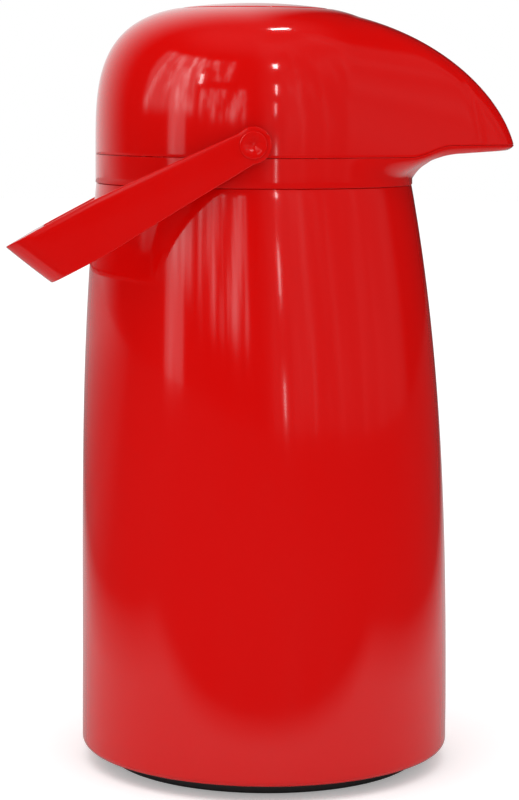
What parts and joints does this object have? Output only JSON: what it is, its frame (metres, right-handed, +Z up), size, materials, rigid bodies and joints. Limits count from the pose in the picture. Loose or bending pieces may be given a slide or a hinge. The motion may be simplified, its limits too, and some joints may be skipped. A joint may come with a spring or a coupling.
{
  "type": "pump pot",
  "caption": "Vacuum pump pot with a leaning glossy shell, a beaked pump head with a press button, a swinging bail handle and a swivel foot.",
  "frame": {"origin": "centre of the swivel foot, on the surface that the pot stands on", "axes": "+Z up, +X along the spout, the handle turns about Y"},
  "size_m": [0.1894, 0.1424, 0.2921],
  "materials": {
    "red_gloss": "high gloss moulded plastic",
    "black_plastic": "fine moulded texture",
    "white_plastic": "satin moulded plastic",
    "steel": "bright",
    "silvered_glass": "silvered",
    "black_rubber": "matt",
    "seal_rubber": "matt food grade rubber",
    "bellows_rubber": "matt",
    "spacer_pad": "pressed fibre"
  },
  "bodies": {
    "pot": {"body_shell": "red_gloss", "base_plate": "black_plastic", "base_screws": "steel", "glide_ring": "white_plastic", "swivel_washer": "steel", "swivel_screw": "steel", "flask_outer": "silvered_glass", "flask_inner": "silvered_glass", "flask_spacers": "spacer_pad", "flask_cushion": "black_rubber", "neck_gasket": "seal_rubber", "neck_ring": "black_plastic"},
    "foot": {"foot_disc": "black_plastic", "grip_ring": "black_rubber"},
    "head": {"collar": "red_gloss", "dome": "red_gloss", "handle_pins": "steel", "head_screws": "steel", "stopper": "white_plastic", "stopper_gasket": "seal_rubber", "riser_tube": "white_plastic", "valve_housing": "white_plastic", "valve_ball": "steel", "spout_tube": "white_plastic", "spout_nozzle": "black_plastic", "air_tube": "white_plastic", "bellows_seat": "white_plastic", "air_flap": "seal_rubber", "bellows": "bellows_rubber", "return_spring": "steel"},
    "button": {"push_button": "red_gloss", "bellows_cap": "white_plastic", "intake_flap": "seal_rubber"},
    "handle": {"handle": "red_gloss"}
  },
  "joints": [
    {"name": "foot_swivel", "type": "hinge", "parent": "pot", "child": "foot", "pos_m": [0, 0, 0.004], "axis": [0, 0, 1], "continuous": true},
    {"name": "head_lift", "type": "slide", "parent": "pot", "child": "head", "axis": [0, 0, 1], "range_m": [0, 0.24]},
    {"name": "button_press", "type": "slide", "parent": "head", "child": "button", "axis": [0, 0, -1], "range_m": [0, 0.014], "stiffness_N_per_m": 600, "springref_m": -0.01, "deforming": ["bellows", "return_spring"]},
    {"name": "handle_swing", "type": "hinge", "parent": "head", "child": "handle", "pos_m": [-0.0054, 0, 0.2398], "axis": [0, 1, 0], "range_deg": [0, 180]}
  ]
}
